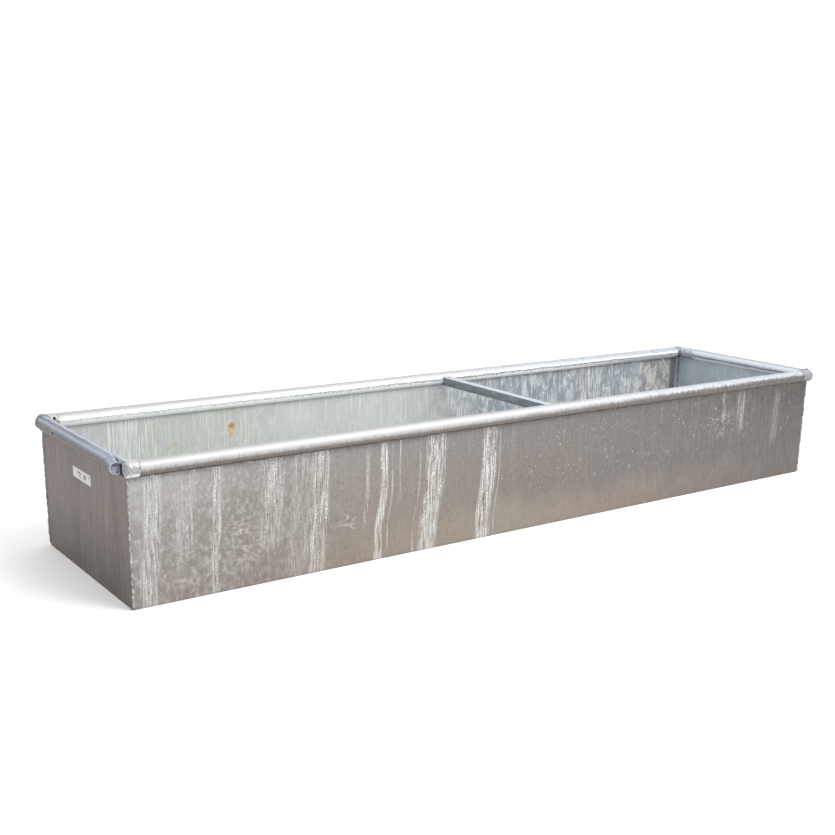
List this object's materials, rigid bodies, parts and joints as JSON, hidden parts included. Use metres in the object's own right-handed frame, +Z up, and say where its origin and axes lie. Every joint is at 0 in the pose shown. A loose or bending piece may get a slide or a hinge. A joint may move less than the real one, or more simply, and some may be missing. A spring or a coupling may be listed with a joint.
{
  "type": "trough feeder",
  "caption": "Long open rectangular livestock trough of welded galvanised sheet, with a round tubular rim, closed tube ends and a cross brace.",
  "frame": {"origin": "centre of the footprint, on the surface the trough stands on", "axes": "+X along the trough, +Y from the front wall to the rear wall, +Z up; the label is on the -X end panel"},
  "size_m": [2.4536, 0.611, 0.357],
  "materials": {
    "galvanised_sheet": "hot-dip galvanised, dull, streaked and mottled",
    "galvanised_tube": "hot-dip galvanised, satin, lightly lumpy",
    "galvanised_angle": "hot-dip galvanised, satin",
    "galvanised_weld": "hot-dip galvanised weld bead, rough",
    "label_film": "satin printed film"
  },
  "bodies": {
    "root": {"trough_body": "galvanised_sheet", "left_end_panel": "galvanised_sheet", "right_end_panel": "galvanised_sheet", "front_rim_tube": "galvanised_tube", "rear_rim_tube": "galvanised_tube", "left_rim_tube": "galvanised_tube", "right_rim_tube": "galvanised_tube", "front_rim_left_cap": "galvanised_tube", "front_rim_right_cap": "galvanised_tube", "rear_rim_left_cap": "galvanised_tube", "rear_rim_right_cap": "galvanised_tube", "left_rim_swaged_end": "galvanised_tube", "right_rim_swaged_end": "galvanised_tube", "left_rim_end_plug": "galvanised_tube", "right_rim_end_plug": "galvanised_tube", "cross_brace": "galvanised_angle", "brace_front_weld": "galvanised_weld", "brace_rear_weld": "galvanised_weld", "front_left_corner_weld": "galvanised_weld", "front_right_corner_weld": "galvanised_weld", "rear_left_corner_weld": "galvanised_weld", "rear_right_corner_weld": "galvanised_weld", "left_inner_weld": "galvanised_weld", "right_inner_weld": "galvanised_weld", "front_left_rim_web": "galvanised_weld", "rear_right_rim_web": "galvanised_weld", "rear_left_rim_weld": "galvanised_weld", "front_right_rim_weld": "galvanised_weld", "front_wall_rim_weld": "galvanised_weld", "rear_wall_rim_weld": "galvanised_weld", "left_panel_rim_weld": "galvanised_weld", "right_panel_rim_weld": "galvanised_weld", "end_label": "label_film"}
  },
  "joints": []
}
